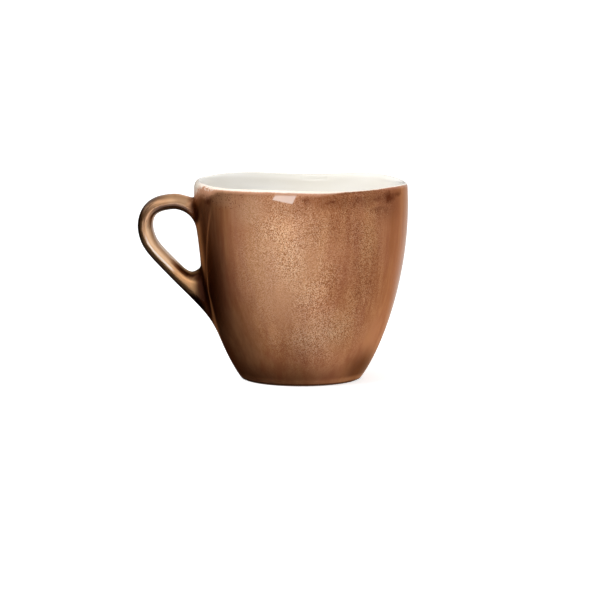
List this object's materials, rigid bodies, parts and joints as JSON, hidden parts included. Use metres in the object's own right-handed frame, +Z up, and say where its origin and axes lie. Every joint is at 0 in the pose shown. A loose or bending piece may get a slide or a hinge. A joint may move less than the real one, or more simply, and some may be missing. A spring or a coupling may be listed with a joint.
{
  "type": "coffee mug",
  "caption": "Large stoneware coffee mug with a strap handle, softly uneven lip, white lining and a mottled copper-brown glaze.",
  "frame": {"origin": "centre of the foot ring, on the table", "axes": "+Z up along the body's axis; +X away from the handle, which points towards -X"},
  "size_m": [0.143, 0.1132, 0.1062],
  "materials": {
    "fired_clay": "matte",
    "slip": "matte",
    "brown_glaze": "gloss",
    "white_glaze": "gloss"
  },
  "bodies": {
    "root": {"clay_body": "fired_clay", "handle": "fired_clay", "upper_slip_joint": "slip", "lower_slip_joint": "slip", "brown_glaze": "brown_glaze", "white_lining_glaze": "white_glaze", "base_glaze": "brown_glaze"}
  },
  "joints": []
}
